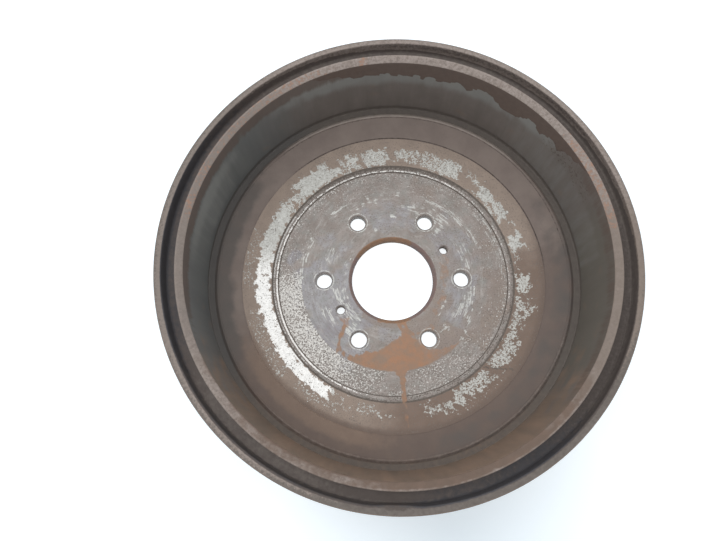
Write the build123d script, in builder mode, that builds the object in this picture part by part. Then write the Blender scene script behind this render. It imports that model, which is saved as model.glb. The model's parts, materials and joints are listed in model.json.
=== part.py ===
"""Rear brake drum of a light truck: one grey-iron casting, turned inside and drilled at the hub.

The drum stands on its wheel seat. Z = 0 is the seat, the Z axis is the axle's, and the open
mouth faces +Z. X points at one stud hole. All sizes are in millimetres.
"""
from build123d import *
import os

os.makedirs("parts", exist_ok=True)

# ---- Driving dimensions -------------------------------------------------------------------
# Hub plate
bore_radius = 33.9              # pilot bore over the axle hub
bore_chamfer = 2.0              # broad lead-in on the brake side
bore_edge_break = 0.8           # on the wheel side
plate_thickness = 8.5           # from the wheel seat to the hub face
wheel_seat_radius = 88.0        # flat face that the wheel clamps against
seat_relief = 2.2               # the cast skin starts this far above the wheel seat

# Holes in the hub plate
stud_circle_diameter = 114.3
stud_count = 6
stud_hole_radius = 6.5
stud_hole_break = 0.8
jack_circle_radius = 50.0       # the tapped holes lie between two studs
jack_count = 2
jack_hole_radius = 3.4          # tapping size of an M8 thread
jack_countersink = 0.8

# Turned step around the hub face
hub_face_radius = 95.2
hub_face_sink = 0.8             # the hub face lies this far below the land
land_width = 2.0
flank_width = 3.0
flank_rise = 2.0

# Dished web between the hub and the barrel
annulus_outer_radius = 124.4    # end of the turned annulus
annulus_rise = 3.3
cone_rise = 7.1                 # as-cast cone, up to the shoulder land
land_lift = 0.5                 # the shoulder land stands this far above the cone
shoulder_land_width = 1.6
web_thickness = 8.2

# Shoe chamber
friction_radius = 148.5         # swept by the shoes
runout_depth = 1.4              # tool run-out groove, cut into the wall at its foot
runout_height = 5.2
runout_width = 7.4              # from the wall to the shoulder land
runout_sink = 1.8               # the groove's floor lies this far below the land
runout_flank = 2.2              # slope from the groove's floor up to the land

# Barrel, shoe lip, labyrinth groove and outer lip
overall_height = 92.0           # wheel seat to the crest of the shoe lip
barrel_wall = 9.3
shoe_lip_wall = 5.5
shoe_lip_chamfer_rise = 2.0
crest_width = 1.4               # flat land on top of the shoe lip
crest_break = 0.6
groove_width = 10.3
groove_depth = 12.0             # below the crest of the shoe lip
groove_taper = 0.8              # each side wall leans in by this much at the floor
groove_floor_fill = 1.2         # 45 degree fill in the groove's two corners
outer_lip_width = 4.7
outer_lip_drop = 1.9            # the outer lip stands this far below the shoe lip
outer_lip_break = 0.9
flange_thickness = 7.0          # under the groove
flange_slope = 2.5              # how far the underside climbs towards the edge
flange_edge_break = 1.8
flange_root_fill = 4.0          # 45 degree fill between the barrel and the flange

# Outside corner between the web and the barrel
corner_drop = 9.0               # the corner lies this far below the shoulder land
corner_chamfer = 9.0

# ---- Sizes that follow --------------------------------------------------------------------
hub_face_z = plate_thickness
land_z = hub_face_z + hub_face_sink
annulus_inner_radius = hub_face_radius + land_width + flank_width
annulus_inner_z = land_z + flank_rise
annulus_outer_z = annulus_inner_z + annulus_rise

runout_radius = friction_radius + runout_depth
shoulder_outer_radius = runout_radius - runout_width
shoulder_inner_radius = shoulder_outer_radius - shoulder_land_width
cone_top_z = annulus_outer_z + cone_rise
shoulder_z = cone_top_z + land_lift
runout_floor_z = shoulder_z - runout_sink
runout_top_z = runout_floor_z + runout_height

crest_radius = friction_radius + shoe_lip_wall
shoe_lip_edge_z = overall_height - shoe_lip_chamfer_rise
groove_outer_radius = crest_radius + groove_width
groove_floor_z = overall_height - groove_depth
outer_lip_radius = groove_outer_radius + outer_lip_width
outer_lip_z = overall_height - outer_lip_drop
barrel_radius = friction_radius + barrel_wall
flange_root_z = groove_floor_z - flange_thickness
flange_edge_z = flange_root_z + flange_slope
skin_knee_z = annulus_outer_z - web_thickness
skin_corner_z = shoulder_z - corner_drop

# ---- Section ------------------------------------------------------------------------------
# Each corner is (distance from the axis, height). The outline runs up the brake side from the
# bore to the mouth, and back down the outside to the wheel seat.
hub_corners = [
    (bore_radius, 0),
    (bore_radius, hub_face_z),
    (hub_face_radius, hub_face_z),
    (hub_face_radius, land_z),
    (hub_face_radius + land_width, land_z),
]
web_corners = [
    (annulus_inner_radius, annulus_inner_z),
    (annulus_outer_radius, annulus_outer_z),
    (shoulder_inner_radius, cone_top_z),
    (shoulder_inner_radius, shoulder_z),
    (shoulder_outer_radius, shoulder_z),
]
chamber_corners = [
    (shoulder_outer_radius + runout_flank, runout_floor_z),
    (runout_radius, runout_floor_z),
    (runout_radius, runout_top_z),
    (friction_radius, runout_top_z + runout_depth),
    (friction_radius, shoe_lip_edge_z),
]
mouth_corners = [
    (crest_radius - crest_width, overall_height),
    (crest_radius, overall_height),
    (crest_radius + groove_taper, groove_floor_z),
    (groove_outer_radius - groove_taper, groove_floor_z),
    (groove_outer_radius, outer_lip_z),
    (outer_lip_radius, outer_lip_z),
]
outer_corners = [
    (outer_lip_radius, flange_edge_z),
    (barrel_radius, flange_root_z),
    (barrel_radius, skin_corner_z),
    (annulus_outer_radius, skin_knee_z),
    (wheel_seat_radius + seat_relief, seat_relief),
    (wheel_seat_radius, 0),
]

# ---- Drum ---------------------------------------------------------------------------------
with BuildPart() as brake_drum:
    with BuildSketch(Plane.XZ) as section:
        with BuildLine():
            Polyline(
                *hub_corners, *web_corners, *chamber_corners, *mouth_corners, *outer_corners,
                close=True,
            )
        make_face()
    revolve(axis=Axis.Z)

    # Corners of the casting and of the turned faces: (distance from the axis, height, chamfer)
    for radius, height, size in [
        (bore_radius, 0, bore_edge_break),
        (bore_radius, hub_face_z, bore_chamfer),
        (crest_radius, overall_height, crest_break),
        (crest_radius + groove_taper, groove_floor_z, groove_floor_fill),
        (groove_outer_radius - groove_taper, groove_floor_z, groove_floor_fill),
        (outer_lip_radius, outer_lip_z, outer_lip_break),
        (outer_lip_radius, flange_edge_z, flange_edge_break),
        (barrel_radius, flange_root_z, flange_root_fill),
        (barrel_radius, skin_corner_z, corner_chamfer),
    ]:
        circles = brake_drum.edges().filter_by(GeomType.CIRCLE)
        corner = circles.sort_by(
            lambda edge: abs(edge.radius - radius) + abs(edge.center().Z - height)
        )[0]
        chamfer(corner, size)

    # Stud holes and tapped jacking holes, through the hub plate from its brake side
    with BuildSketch(Plane.XY.offset(hub_face_z)) as hub_holes:
        with PolarLocations(stud_circle_diameter / 2, stud_count):
            Circle(stud_hole_radius)
        with PolarLocations(jack_circle_radius, jack_count, start_angle=180 / stud_count):
            Circle(jack_hole_radius)
    extrude(amount=-hub_face_z, mode=Mode.SUBTRACT)

    # Broken edges on the brake side of the holes
    hub_rims = brake_drum.edges().filter_by(GeomType.CIRCLE).filter_by_position(
        Axis.Z, hub_face_z - 0.01, hub_face_z + 0.01
    )
    chamfer(hub_rims.filter_by(lambda rim: rim.radius == stud_hole_radius), stud_hole_break)
    chamfer(hub_rims.filter_by(lambda rim: rim.radius == jack_hole_radius), jack_countersink)

brake_drum.part.label = "brake_drum"
export_step(brake_drum.part, "parts/brake_drum.step")
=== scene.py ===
"""Used brake drum of a light truck: finishes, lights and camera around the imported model.

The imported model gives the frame: metres, +Z up, the wheel seat on Z = 0 and the open mouth
facing up. Sizes in the classes below are millimetres unless their names say otherwise.
"""
import json
import logging
import math
from dataclasses import dataclass
from enum import Enum
from typing import Any, Optional, Sequence

import bpy
import numpy as np
from mathutils import Matrix, Vector


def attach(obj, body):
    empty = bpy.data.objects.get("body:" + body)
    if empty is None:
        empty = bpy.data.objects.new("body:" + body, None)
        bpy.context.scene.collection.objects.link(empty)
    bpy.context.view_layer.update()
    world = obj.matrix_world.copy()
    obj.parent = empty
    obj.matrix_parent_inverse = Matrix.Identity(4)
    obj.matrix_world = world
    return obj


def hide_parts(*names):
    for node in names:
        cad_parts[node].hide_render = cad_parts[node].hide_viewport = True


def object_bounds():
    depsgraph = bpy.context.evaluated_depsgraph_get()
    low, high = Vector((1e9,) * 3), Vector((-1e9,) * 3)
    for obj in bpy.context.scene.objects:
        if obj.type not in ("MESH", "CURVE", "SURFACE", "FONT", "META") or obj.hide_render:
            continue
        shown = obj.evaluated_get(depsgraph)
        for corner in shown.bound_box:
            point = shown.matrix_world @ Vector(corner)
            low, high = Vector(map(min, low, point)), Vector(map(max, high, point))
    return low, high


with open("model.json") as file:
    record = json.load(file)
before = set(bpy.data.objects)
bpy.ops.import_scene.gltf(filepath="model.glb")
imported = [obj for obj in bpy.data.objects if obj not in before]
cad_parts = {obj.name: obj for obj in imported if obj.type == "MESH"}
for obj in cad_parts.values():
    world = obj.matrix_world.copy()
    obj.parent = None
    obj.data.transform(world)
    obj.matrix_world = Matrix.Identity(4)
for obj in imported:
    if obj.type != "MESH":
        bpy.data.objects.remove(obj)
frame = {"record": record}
cad_low, cad_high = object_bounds()

LOG = logging.getLogger("brake_drum")
MM = 0.001
FULL_TURN = 2 * math.pi
SHARP_ANGLE = math.radians(50)      # edges that turn by more than this are shaded crisp
NOISE_DETAIL = 5.0                  # octaves of every noise
NOISE_ROUGHNESS = 0.62              # strength of each octave against the one before
TURN_CELLS = 8.0                    # noise cells for each radian of the turn, for turned bits
RUN_SQUEEZE = 0.125                 # how much of the height counts for run bits
PLAIN_ROWS = 4                      # rows of points on the wall of a plain hole
THREAD_ROWS = 6                     # rows of points for each pitch of a thread
TOUCH = 0.01                        # millimetres within which two places are the same
Array = np.ndarray
Amount = float | Array


class Zone(Enum):
    """Stretches of the drum's surface, named as a machinist would."""

    HUB_PLATE = 0
    WEB = 1
    CHAMBER = 2
    MOUTH = 3
    OUTSIDE = 4


class Lay(Enum):
    """Which way the bits of a coat lie."""

    EVEN = "as broad as long"
    TURNED = "dragged out along the turn"
    RUN = "run down the wall, along the axis"


# ---- Small tools ----------------------------------------------------------------------------
def linear(colour: str) -> tuple[float, float, float, float]:
    """Turn an sRGB hex colour into linear RGBA.

    A channel up to 0.04045 is divided by 12.92. To a brighter one 0.055 is added, the sum is
    divided by 1.055 and raised to the power of 2.4.

    Args:
        colour: Six hex digits after a "#".

    Returns:
        Red, green, blue and alpha for a shader socket.
    """
    parts = [int(colour[i:i + 2], 16) / 255 for i in (1, 3, 5)]
    made = [c / 12.92 if c <= 0.04045 else ((c + 0.055) / 1.055) ** 2.4 for c in parts]
    return made[0], made[1], made[2], 1.0


def ramp(value: Array, low: Amount, high: Amount) -> Array:
    """Smooth step, 0 at low and 1 at high: t squared times (3 - 2 t); low may be above high."""
    t = np.clip((value - low) / (high - low), 0, 1)
    return t * t * (3 - 2 * t)


def band(value: Array, low: float, high: float, soft: float) -> Array:
    """1 between low and high, falling to 0 over a soft margin centred on each limit."""
    half = soft / 2
    return ramp(value, low - half, low + half) * ramp(value, high + half, high - half)


def turn(degrees: Array, centre: float) -> Array:
    """Signed angle from a centre, in degrees, wrapped to -180 to 180."""
    return (degrees - centre + 180) % 360 - 180


def wave_field(points: Array, wavelength: float, seed: int, waves: int = 28) -> Array:
    """Smooth random field: a sum of plane waves of random direction, length and phase.

    Args:
        points: N x 3 places in millimetres.
        wavelength: Typical distance between two crests, in millimetres.
        seed: Seed of the random draws.
        waves: How many waves are added.

    Returns:
        N values of zero mean and unit spread.
    """
    draw = np.random.default_rng(seed)
    course = draw.normal(size=(waves, 3))
    course /= np.linalg.norm(course, axis=1, keepdims=True)
    pitch = FULL_TURN / (wavelength * draw.uniform(0.7, 1.6, waves))
    phase = draw.uniform(0, FULL_TURN, waves)
    swell = np.cos(points @ (course * pitch[:, None]).T + phase)
    return swell.sum(axis=1) * math.sqrt(2 / waves)


def place_object(name: str, data: bpy.types.ID) -> bpy.types.Object:
    """Add an object with this name and data to the scene.

    Args:
        name: Its name.
        data: Its mesh, light or camera.

    Returns:
        The object, at the origin, unturned and unscaled.
    """
    made = bpy.data.objects.new(name, data)
    bpy.context.scene.collection.objects.link(made)
    return made


# ---- Section of the drum --------------------------------------------------------------------
@dataclass(frozen=True)
class Corner:
    """One corner of the section and the run that follows it.

    Attributes:
        radius: Distance from the axis.
        height: Height above the wheel seat.
        rounding: Radius of the rounded corner, 0 for a crisp one.
        zone: Zone of the run that starts here.
        step: Longest distance between rows on that run.
    """

    radius: float
    height: float
    rounding: float
    zone: Zone
    step: float


@dataclass(frozen=True)
class Outline:
    """The rounded section as rows of the revolved surface.

    Attributes:
        radius: Distance of each row from the axis.
        height: Its height above the wheel seat.
        zone: Its zone.
    """

    radius: Array
    height: Array
    zone: Array

    @classmethod
    def trace(cls, corners: Sequence[Corner], arc_step: float = 24.0) -> "Outline":
        """Round each corner with an arc and divide each straight run evenly.

        An arc of radius r at a corner that turns by t touches its runs r tan(t / 2) from the
        corner; its points are the corner's two touching points swept about its centre.

        Args:
            corners: Corners of the closed outline, in order.
            arc_step: Most degrees between two points of an arc.

        Returns:
            The rows in order, each with the zone of its run.
        """
        place = np.array([(c.radius, c.height) for c in corners])
        ahead = np.roll(place, -1, axis=0) - place
        length = np.hypot(*ahead.T)
        course = ahead / length[:, None]
        before = np.roll(course, 1, axis=0)
        bend = np.arctan2(
            before[:, 0] * course[:, 1] - before[:, 1] * course[:, 0], (before * course).sum(1)
        )
        rounding = np.array([c.rounding for c in corners])
        cut = rounding * np.tan(np.abs(bend) / 2)
        rows, zones = [], []
        for i, corner in enumerate(corners):
            entry = place[i] - before[i] * cut[i]
            if rounding[i] > 0:
                count = max(2, math.ceil(math.degrees(abs(bend[i])) / arc_step))
                side = math.copysign(1, bend[i])
                inward = np.array([-before[i, 1], before[i, 0]]) * side
                centre = entry + inward * rounding[i]
                angle = np.linspace(0, bend[i], count + 1)
                cos, sin = np.cos(angle), np.sin(angle)
                arm = -inward * rounding[i]
                swept = centre + np.stack(
                    [arm[0] * cos - arm[1] * sin, arm[0] * sin + arm[1] * cos], axis=1
                )
            else:
                swept = entry[None]
            exit_point = place[i] + course[i] * cut[i]
            following = (i + 1) % len(corners)
            end = place[following] - course[i] * cut[following]
            run = np.hypot(*(end - exit_point))
            steps = max(1, math.ceil(run / corner.step))
            share = np.linspace(0, 1, steps + 1)[1:-1, None]
            straight = exit_point + (end - exit_point) * share
            rows += [swept, straight]
            zones += [corner.zone.value] * (len(swept) + len(straight))
        made = np.concatenate(rows)
        return cls(made[:, 0], made[:, 1], np.array(zones))


@dataclass(frozen=True)
class DrumSection:
    """Sizes of the finished section, with the roundings that wear and casting leave.

    A pair is a corner's radius and height, and the groove's floor is two radii and a height.
    The flat plate between plate_rows takes the holes, so its rows lie plate_step apart.
    """

    bore_radius: float
    friction_radius: float
    outer_radius: float
    overall_height: float
    plate: float = 8.5
    seat_radius: float = 88.0
    seat_relief: float = 2.2
    lead_in: float = 2.0
    step_radius: float = 95.2
    land_z: float = 9.3
    land_width: float = 2.0
    flank_top: tuple[float, float] = (100.2, 11.3)
    annulus_end: tuple[float, float] = (124.4, 14.6)
    cone_end: tuple[float, float] = (140.9, 21.7)
    shoulder: tuple[float, float] = (142.5, 22.2)
    runout_floor: tuple[float, float] = (144.7, 20.4)
    runout_radius: float = 149.9
    runout_top: float = 25.6
    lip_edge_z: float = 90.0
    crest_inner: float = 152.6
    crest_outer: float = 154.0
    groove_floor: tuple[float, float, float] = (154.8, 163.5, 80.0)
    outer_lip_inner: float = 164.3
    outer_lip_z: float = 90.1
    flange_edge_z: float = 75.5
    flange_root_z: float = 73.0
    barrel_radius: float = 157.8
    corner_z: float = 13.2
    corner_rounding: float = 10.5
    knee_z: float = 6.4
    plate_rows: tuple[float, float] = (40.0, 84.0)
    plate_step: float = 2.0

    def corners(self) -> list[Corner]:
        """Corners up the brake side, over the mouth and back down the outside.

        Returns:
            The corners of the closed outline.
        """
        hub, web, chamber = Zone.HUB_PLATE, Zone.WEB, Zone.CHAMBER
        mouth, outside = Zone.MOUTH, Zone.OUTSIDE
        inner_row, outer_row = self.plate_rows
        floor_in, floor_out, floor_z = self.groove_floor
        return [
            Corner(self.bore_radius, 0.8, 0.3, hub, 1.5),
            Corner(self.bore_radius, self.plate - self.lead_in, 0.4, hub, 1.5),
            Corner(self.bore_radius + self.lead_in, self.plate, 0.5, hub, 1.5),
            Corner(inner_row, self.plate, 0, hub, self.plate_step),
            Corner(outer_row, self.plate, 0, hub, 1.4),
            Corner(self.step_radius, self.plate, 0.15, hub, 0.8),
            Corner(self.step_radius, self.land_z, 0.3, hub, 0.7),
            Corner(self.step_radius + self.land_width, self.land_z, 0.5, hub, 1.0),
            Corner(*self.flank_top, 0.6, hub, 1.4),
            Corner(self.annulus_end[0] - 0.6, self.annulus_end[1] - 0.1, 0.2, web, 0.6),
            Corner(self.annulus_end[0], self.annulus_end[1] - 0.25, 0.2, web, 0.6),
            Corner(self.annulus_end[0] + 0.6, self.annulus_end[1] + 0.2, 0.3, web, 1.8),
            Corner(*self.cone_end, 0.2, web, 0.5),
            Corner(self.cone_end[0], self.shoulder[1], 0.25, web, 0.8),
            Corner(*self.shoulder, 0.5, web, 0.9),
            Corner(*self.runout_floor, 0.6, chamber, 1.3),
            Corner(self.runout_radius, self.runout_floor[1], 1.0, chamber, 1.3),
            Corner(self.runout_radius, self.runout_top, 0.4, chamber, 0.8),
            Corner(self.friction_radius, self.runout_top + 1.4, 0.6, chamber, 2.4),
            Corner(self.friction_radius, self.lip_edge_z, 0.5, mouth, 1.2),
            Corner(self.crest_inner, self.overall_height, 0.6, mouth, 1.2),
            Corner(self.crest_outer, self.overall_height, 0.7, mouth, 3.0),
            Corner(floor_in, floor_z, 1.8, mouth, 2.5),
            Corner(floor_out, floor_z, 1.8, mouth, 2.5),
            Corner(self.outer_lip_inner, self.outer_lip_z, 0.8, mouth, 1.4),
            Corner(self.outer_radius, self.outer_lip_z, 0.7, outside, 3.5),
            Corner(self.outer_radius, self.flange_edge_z, 1.8, outside, 3.0),
            Corner(self.barrel_radius, self.flange_root_z, 4.5, outside, 4.0),
            Corner(self.barrel_radius, self.corner_z, self.corner_rounding, outside, 4.0),
            Corner(self.annulus_end[0], self.knee_z, 6.0, outside, 4.0),
            Corner(self.seat_radius + self.seat_relief, self.seat_relief, 0.8, outside, 1.5),
            Corner(self.seat_radius, 0, 0.3, outside, 2.0),
            Corner(outer_row, 0, 0, outside, self.plate_step),
            Corner(inner_row, 0, 0, outside, 2.0),
            Corner(self.bore_radius + 0.8, 0, 0.2, hub, 0.6),
        ]


# ---- Surface --------------------------------------------------------------------------------
@dataclass
class Shell:
    """Vertices and four-sided faces that are joined as they are made.

    Attributes:
        points: N x 3 places.
        faces: Four vertex numbers for each face.
        zones: The zone of each face.
    """

    points: Array
    faces: Array
    zones: Array

    def weld(self, points: Array, faces: Array, zones: Array) -> None:
        """Add vertices and faces.

        Args:
            points: New vertices, N x 3.
            faces: New faces, whose numbers already count from this shell's first vertex.
            zones: The zone of each new face.
        """
        self.points = np.concatenate([self.points, points])
        self.faces = np.concatenate([self.faces, faces])
        self.zones = np.concatenate([self.zones, zones])

    def compact(self) -> None:
        """Drop the vertices that no face uses."""
        used, self.faces = np.unique(self.faces, return_inverse=True)
        self.faces = self.faces.reshape(-1, 4)
        self.points = self.points[used]


def grid_faces(rows: Array) -> Array:
    """Faces (j, k), (j + 1, k), (j + 1, k + 1), (j, k + 1) between rows, closed round each row."""
    beside = np.roll(rows, -1, axis=1)
    return np.stack([rows[:-1], rows[1:], beside[1:], beside[:-1]], axis=-1).reshape(-1, 4)


@dataclass(frozen=True)
class PlateHole:
    """A drilled hole through the hub plate.

    Attributes:
        centre: Place of its axis on the plate.
        radius: Radius of the plain hole.
        lead_in: Width of the chamfer on the brake side.
        margin: Half the width of the square of plate that is remade around it.
        thread_pitch: Pitch of a cut thread, 0 for a plain hole.
        thread_depth: Depth of that thread.
    """

    centre: tuple[float, float]
    radius: float
    lead_in: float
    margin: float
    thread_pitch: float = 0.0
    thread_depth: float = 0.0

    def wall(self, top: float) -> tuple[Array, Array]:
        """Radii and heights of the hole's wall, from the plate's face to the wheel seat.

        Args:
            top: Height of the plate's face.

        Returns:
            Mean radius and height of each row.
        """
        count = round(THREAD_ROWS * top / self.thread_pitch) if self.thread_pitch else PLAIN_ROWS
        lead = np.array([[self.lead_in + self.radius + 0.25, top],
                         [self.lead_in + self.radius, top - 0.1],
                         [self.radius + 0.15, top - self.lead_in]])
        height = np.linspace(top - self.lead_in - 0.2, 0.25, count)
        plain = np.stack([np.full(count, self.radius), height], axis=1)
        foot = np.array([[self.radius + 0.2, 0.0]])
        made = np.concatenate([lead, plain, foot])
        return made[:, 0], made[:, 1]

    def sleeve(self, upper: Array, lower: Array, top: float) -> Array:
        """Loops of points from the plate's face, through the hole, to the wheel seat.

        Each loop point keeps its bearing about the hole's axis. The collars on both faces
        go from the square's edge to the circle in steps that shorten a little. A thread's
        radius follows a cosine of height / pitch + bearing / turn, fading out at both ends.

        Args:
            upper: The square's edge on the plate's face, N x 3.
            lower: The same edge on the wheel seat, N x 3.
            top: Height of the plate's face.

        Returns:
            Array of loops x N x 3.
        """
        middle = np.array(self.centre)
        bearing = np.arctan2(upper[:, 1] - middle[1], upper[:, 0] - middle[0])
        aim = np.stack([np.cos(bearing), np.sin(bearing)], axis=1)
        radius, height = self.wall(top)
        reach = np.repeat(radius[:, None], len(bearing), axis=1)
        if self.thread_pitch:
            fade = band(height, 0.9, top - self.lead_in - 0.6, 1.2)[:, None]
            lead = height[:, None] / self.thread_pitch + bearing / FULL_TURN
            reach = reach + fade * self.thread_depth * (0.5 + 0.5 * np.cos(FULL_TURN * lead))
        wall = np.empty((len(radius), len(bearing), 3))
        wall[..., :2] = middle + aim * reach[..., None]
        wall[..., 2] = height[:, None]
        share = np.linspace(0, 1, 6)[1:-1, None, None] ** 0.8
        collar_up = upper + (wall[0] - upper) * share
        collar_low = (lower + (wall[-1] - lower) * share)[::-1]
        return np.concatenate([upper[None], collar_up, wall, collar_low, lower[None]])


@dataclass
class DrumCasting:
    """The whole drum: one iron casting, turned inside and drilled at the hub.

    Attributes:
        section: Its section.
        steps_round: Points in each row of the revolved surface.
        stud_circle: Radius of the circle of stud holes.
        stud_count: How many there are.
        stud_hole: Radius, lead-in and margin of each.
        jack_circle: Radius of the circle of jacking holes.
        jack_angles: Their bearings.
        jack_hole: Radius, lead-in, margin, thread pitch and thread depth of each.
        cast_skin_depth: Deepest sink of the cast skin.
        skin_waves: Share, wavelength and seed of each random field of that skin.
        groove_wall: Radii between which the groove's outer wall lies.
        groove_drift: How far that wall lies off the axis, along X and Y.
        groove_inset: How far it stands inwards all round.
        lump_bearing: Bearing of the cast lump on that wall.
        lump_reach: Degrees from there where the lump ends, and where it is full.
        lump_depth: How far the lump stands out of the wall.
    """

    section: DrumSection
    steps_round: int = 312
    stud_circle: float = 57.15
    stud_count: int = 6
    stud_hole: tuple[float, ...] = (6.5, 0.8, 9.0)
    jack_circle: float = 50.0
    jack_angles: tuple[float, ...] = (30.0, 210.0)
    jack_hole: tuple[float, ...] = (3.4, 0.8, 5.4, 1.25, 0.6)
    cast_skin_depth: float = 0.16
    skin_waves: tuple[tuple[float, float, int], ...] = ((0.6, 9.0, 11), (0.4, 4.0, 12))
    groove_wall: tuple[float, float] = (161.0, 166.4)
    groove_drift: tuple[float, float] = (0.3, 0.65)
    groove_inset: float = 0.1
    lump_bearing: float = 268.5
    lump_reach: tuple[float, float] = (6.5, 1.5)
    lump_depth: float = 1.3

    def holes(self) -> list[PlateHole]:
        """Place the stud holes, then the two jacking holes with their thread.

        Returns:
            The holes.
        """
        studs = np.arange(self.stud_count) * FULL_TURN / self.stud_count
        jacks = np.radians(self.jack_angles)
        return [
            PlateHole((circle * math.cos(angle), circle * math.sin(angle)), *sizes)
            for circle, angles, sizes in (
                (self.stud_circle, studs, self.stud_hole), (self.jack_circle, jacks, self.jack_hole)
            )
            for angle in angles
        ]

    def relief(self, points: Array, outline: Outline) -> Array:
        """Push the plain revolved surface to its real, uneven form.

        The groove's outer wall is turned slightly off the axis: its radius gains the drift's
        part along each bearing. A cast lump stands in that groove, a bump in bearing and
        radius. Cast faces sink by up to the skin's depth where two random fields are high.

        Args:
            points: Rows x steps x 3 places of the plain surface.
            outline: The rows' radius, height and zone.

        Returns:
            The moved places.
        """
        angle = np.linspace(0, FULL_TURN, self.steps_round, endpoint=False)[None, :]
        radius, height = outline.radius[:, None], outline.height[:, None]
        degrees = np.degrees(angle)
        above = height > self.section.groove_floor[2] - 0.5
        wall = band(radius, *self.groove_wall, 3.0) * above
        drift = self.groove_drift[0] * np.cos(angle) + self.groove_drift[1] * np.sin(angle)
        lump = ramp(np.abs(turn(degrees, self.lump_bearing)), *self.lump_reach)
        lump = lump * ramp(height, 79.5, 84.0)
        bulge = self.lump_depth * lump * ramp(radius, 162.0, 163.8)
        shift = wall * (drift - self.groove_inset - bulge)
        moved = points.copy()
        moved[..., 0] += shift * np.cos(angle)
        moved[..., 1] += shift * np.sin(angle)
        flat = points.reshape(-1, 3)
        rough = sum(share * wave_field(flat, pitch, seed) for share, pitch, seed in self.skin_waves)
        depth = self.cast_skin_depth * np.clip(0.55 + 0.3 * rough, 0, 1.4)
        cast = self.cast_share(outline)[:, None]
        out_r, out_z = self.outward(outline)
        push = -depth.reshape(points.shape[:2]) * cast
        moved[..., 0] += push * out_r[:, None] * np.cos(angle)
        moved[..., 1] += push * out_r[:, None] * np.sin(angle)
        moved[..., 2] += push * out_z[:, None]
        return moved

    def cast_share(self, outline: Outline) -> Array:
        """Tell the rows that keep the casting's skin from the turned rows.

        Args:
            outline: The section's rows.

        Returns:
            1 for a row of cast skin, 0 for a turned one.
        """
        radius, height = outline.radius, outline.height
        web = band(radius, 126.0, 140.0, 1.0) * (outline.zone == Zone.WEB.value)
        groove = (outline.zone == Zone.MOUTH.value) * ramp(height, 89.0, 87.0) * (radius > 153)
        skin = (outline.zone == Zone.OUTSIDE.value) * ramp(height, 0.4, 2.2) * (radius > 88)
        rim = band(radius, 166.0, 171.0, 2.0) * band(height, 77.0, 91.0, 2.0)
        return np.clip(web + 0.8 * groove + skin * (1 - 0.7 * rim), 0, 1)

    @staticmethod
    def outward(outline: Outline) -> tuple[Array, Array]:
        """Outward direction of each row: the run's course turned a quarter turn left.

        Args:
            outline: The section's rows.

        Returns:
            Its parts away from the axis and upwards, a unit vector for each row.
        """
        course_r = np.roll(outline.radius, -1) - np.roll(outline.radius, 1)
        course_z = np.roll(outline.height, -1) - np.roll(outline.height, 1)
        size = np.hypot(course_r, course_z)
        return -course_z / size, course_r / size

    def shell(self) -> Shell:
        """Revolve the section, then cut and line the holes of the hub plate.

        Returns:
            The closed surface, in millimetres.
        """
        outline = Outline.trace(self.section.corners())
        angle = np.linspace(0, FULL_TURN, self.steps_round, endpoint=False)
        points = np.stack([
            outline.radius[:, None] * np.cos(angle),
            outline.radius[:, None] * np.sin(angle),
            np.repeat(outline.height[:, None], self.steps_round, axis=1),
        ], axis=-1)
        points = self.relief(points, outline)
        number = np.arange(points[..., 0].size).reshape(points.shape[:2])
        closed = np.concatenate([number, number[:1]])
        faces = grid_faces(closed).reshape(len(number), self.steps_round, 4)
        keep = np.ones(faces.shape[:2], bool)
        made = Shell(points.reshape(-1, 3), np.empty((0, 4), int), np.empty(0, int))
        for hole in self.holes():
            self.line_hole(made, hole, outline, number, keep)
        zones = np.repeat(outline.zone[:, None], self.steps_round, axis=1)
        made.weld(np.empty((0, 3)), faces[keep], zones[keep])
        made.compact()
        return made

    def plate_rows(self, outline: Outline, height: float) -> Array:
        """Find the rows on one face of the plate, between the section's two plate rows.

        Args:
            outline: The section's rows.
            height: Height of that face.

        Returns:
            Numbers of the rows.
        """
        low, high = self.section.plate_rows
        inside = (outline.radius > low - TOUCH) & (outline.radius < high + TOUCH)
        return np.flatnonzero(inside & (np.abs(outline.height - height) < TOUCH))

    def line_hole(
        self, made: Shell, hole: PlateHole, outline: Outline, number: Array, keep: Array
    ) -> None:
        """Remove the plate's faces around one hole and join both sides with its sleeve.

        Args:
            made: Shell that takes the sleeve.
            hole: The hole.
            outline: The section's rows.
            number: Vertex numbers of the revolved grid.
            keep: Faces of the grid that stay; changed here.
        """
        upper_rows = self.plate_rows(outline, self.section.plate)
        lower_rows = self.plate_rows(outline, 0.0)[::-1]
        middle = math.hypot(*hole.centre)
        bearing = math.atan2(hole.centre[1], hole.centre[0]) / FULL_TURN * self.steps_round
        radii = outline.radius[upper_rows]
        first = np.abs(radii - (middle - hole.margin)).argmin()
        last = np.abs(radii - (middle + hole.margin)).argmin()
        half = round(hole.margin / middle / FULL_TURN * self.steps_round)
        columns = (np.arange(-half, half + 1) + round(bearing)) % self.steps_round
        loops = []
        for rows in (upper_rows[first:last + 1], lower_rows[first:last + 1]):
            square = number[np.ix_(rows, columns)]
            loops.append(np.concatenate([
                square[0, :-1], square[:-1, -1], square[-1, :0:-1], square[:0:-1, 0]
            ]))
            keep[np.ix_(np.sort(rows)[:-1], columns[:-1])] = False
        upper, lower = made.points[loops[0]], made.points[loops[1]]
        sleeve = hole.sleeve(upper, lower, self.section.plate)
        fresh = np.arange(sleeve[1:-1, :, 0].size) + len(made.points)
        rows = np.concatenate([loops[0][None], fresh.reshape(-1, len(loops[0])), loops[1][None]])
        faces = grid_faces(rows)
        lining = sleeve[1:-1].reshape(-1, 3)
        highest = np.concatenate([made.points, lining])[faces, 2].max(axis=1)
        zones = np.where(highest > TOUCH, Zone.HUB_PLATE.value, Zone.OUTSIDE.value)
        made.weld(lining, faces, zones)

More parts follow.
